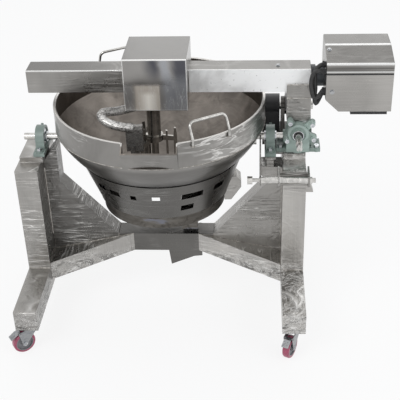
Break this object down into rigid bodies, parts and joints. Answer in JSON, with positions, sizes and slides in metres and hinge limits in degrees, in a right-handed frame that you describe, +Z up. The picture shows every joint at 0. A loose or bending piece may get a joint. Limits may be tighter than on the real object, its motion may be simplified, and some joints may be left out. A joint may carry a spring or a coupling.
{
  "type": "cooking mixer machine",
  "caption": "Tilting round-bottomed cooking pot on trunnions over a gas furnace, with a wheeled frame and a swing-back stirring head.",
  "frame": {"origin": "on the floor, under the middle of the machine's outline", "axes": "+X to the right along the beam towards the motor, +Y away from the spout, +Z up"},
  "size_m": [1.6222, 1.0986, 1.23],
  "materials": {
    "steel": "satin stainless sheet",
    "dark_steel": "dull heat-stained steel",
    "casting": "grey-green painted casting",
    "black_casting": "black painted casting",
    "zinc": "zinc-plated steel",
    "bronze": "machined bronze",
    "motor_paint": "black paint",
    "cable": "black rubber sheath",
    "tread": "crimson polyurethane",
    "hub": "grey nylon",
    "scraper": "white fluoropolymer"
  },
  "bodies": {
    "frame": {"left_stand": "steel", "right_stand": "steel", "cradle_beam": "steel", "cradle_webs": "steel", "struts": "steel", "left_bearing": "casting", "right_bearing": "casting", "bearing_inserts": "zinc", "frame_bolts": "zinc", "gearbox_housing": "casting", "gearbox_flange": "casting", "cross_shaft_bracket": "steel", "cross_shaft": "steel", "hinge_bracket": "dark_steel", "hinge_bearing": "black_casting", "caster_plates": "zinc"},
    "pot": {"pot_shell": "steel", "spout": "steel", "front_handle": "steel", "rear_handle": "steel", "left_trunnion": "steel", "right_trunnion": "steel", "furnace_shroud": "steel", "furnace_ring": "dark_steel", "burner": "dark_steel", "gas_box": "steel", "worm_wheel": "bronze"},
    "worm": {"worm_shaft": "steel"},
    "head": {"head_arm": "steel", "saddle_plates": "steel", "hinge_shaft": "steel", "beam": "steel", "bevel_housing": "casting", "gear_cover": "steel", "shaft_sleeve": "steel", "motor": "motor_paint", "motor_hood": "steel", "motor_tray": "steel", "cables": "cable"},
    "drive": {"drive_shaft": "steel"},
    "carrier": {"planet_case": "dark_steel", "sweep_arm": "steel", "sweep_scraper": "scraper"},
    "agitator": {"agitator": "steel"},
    "fork_left_front": {"caster_fork_1": "zinc"},
    "wheel_left_front": {"caster_wheel_1": "tread", "caster_hub_1": "hub"},
    "pedal_left_front": {"brake_pedal_1": "zinc"},
    "fork_right_front": {"caster_fork_2": "zinc"},
    "wheel_right_front": {"caster_wheel_2": "tread", "caster_hub_2": "hub"},
    "pedal_right_front": {"brake_pedal_2": "zinc"},
    "fork_left_back": {"caster_fork_3": "zinc"},
    "wheel_left_back": {"caster_wheel_3": "tread", "caster_hub_3": "hub"},
    "pedal_left_back": {"brake_pedal_3": "zinc"},
    "fork_right_back": {"caster_fork_4": "zinc"},
    "wheel_right_back": {"caster_wheel_4": "tread", "caster_hub_4": "hub"},
    "pedal_right_back": {"brake_pedal_4": "zinc"}
  },
  "joints": [
    {"name": "pot_tilt", "type": "hinge", "parent": "frame", "child": "pot", "pos_m": [-0.14888, 0, 0.815], "axis": [1, 0, 0], "range_deg": [0, 15]},
    {"name": "worm_spin", "type": "hinge", "parent": "frame", "child": "worm", "pos_m": [0.44012, 0, 0.865], "axis": [0, 1, 0], "range_deg": [0, 600]},
    {"name": "head_swing", "type": "hinge", "parent": "frame", "child": "head", "pos_m": [0.44112, 0.25, 0.845], "axis": [-1, 0, 0], "range_deg": [0, 35]},
    {"name": "main_spin", "type": "hinge", "parent": "head", "child": "carrier", "pos_m": [-0.14888, 0, 1], "axis": [0, 0, 1], "continuous": true},
    {"name": "drive_spin", "type": "hinge", "parent": "head", "child": "drive", "pos_m": [0.15112, 0, 1.095], "axis": [1, 0, 0], "continuous": true},
    {"name": "agitator_spin", "type": "hinge", "parent": "carrier", "child": "agitator", "pos_m": [-0.17145, -0.06202, 0.9], "axis": [0, 0, 1], "continuous": true},
    {"name": "swivel_left_front", "type": "hinge", "parent": "frame", "child": "fork_left_front", "pos_m": [-0.72388, -0.456, 0.128], "axis": [0, 0, 1], "continuous": true},
    {"name": "roll_left_front", "type": "hinge", "parent": "fork_left_front", "child": "wheel_left_front", "pos_m": [-0.75337, -0.47665, 0.05], "axis": [0.5736, -0.8192, 0], "continuous": true},
    {"name": "pedal_left_front", "type": "hinge", "parent": "fork_left_front", "child": "pedal_left_front", "pos_m": [-0.76566, -0.48525, 0.104], "axis": [0.5736, -0.8192, 0], "range_deg": [0, 12]},
    {"name": "swivel_right_front", "type": "hinge", "parent": "frame", "child": "fork_right_front", "pos_m": [0.42612, -0.456, 0.128], "axis": [0, 0, 1], "continuous": true},
    {"name": "roll_right_front", "type": "hinge", "parent": "fork_right_front", "child": "wheel_right_front", "pos_m": [0.41091, -0.48863, 0.05], "axis": [0.9063, -0.4226, 0], "continuous": true},
    {"name": "pedal_right_front", "type": "hinge", "parent": "fork_right_front", "child": "pedal_right_front", "pos_m": [0.40457, -0.50222, 0.104], "axis": [0.9063, -0.4226, 0], "range_deg": [0, 12]},
    {"name": "swivel_left_back", "type": "hinge", "parent": "frame", "child": "fork_left_back", "pos_m": [-0.72388, 0.456, 0.128], "axis": [0, 0, 1], "continuous": true},
    {"name": "roll_left_back", "type": "hinge", "parent": "fork_left_back", "child": "wheel_left_back", "pos_m": [-0.75337, 0.47665, 0.05], "axis": [-0.5736, -0.8192, 0], "continuous": true},
    {"name": "pedal_left_back", "type": "hinge", "parent": "fork_left_back", "child": "pedal_left_back", "pos_m": [-0.76566, 0.48525, 0.104], "axis": [-0.5736, -0.8192, 0], "range_deg": [0, 12]},
    {"name": "swivel_right_back", "type": "hinge", "parent": "frame", "child": "fork_right_back", "pos_m": [0.42612, 0.456, 0.128], "axis": [0, 0, 1], "continuous": true},
    {"name": "roll_right_back", "type": "hinge", "parent": "fork_right_back", "child": "wheel_right_back", "pos_m": [0.41091, 0.48863, 0.05], "axis": [-0.9063, -0.4226, 0], "continuous": true},
    {"name": "pedal_right_back", "type": "hinge", "parent": "fork_right_back", "child": "pedal_right_back", "pos_m": [0.40457, 0.50222, 0.104], "axis": [-0.9063, -0.4226, 0], "range_deg": [0, 12]}
  ],
  "couplings": [
    {"joint": "worm_spin", "follows": "pot_tilt", "ratio": 40},
    {"joint": "drive_spin", "follows": "main_spin", "ratio": 2},
    {"joint": "agitator_spin", "follows": "main_spin", "ratio": 1.2}
  ]
}
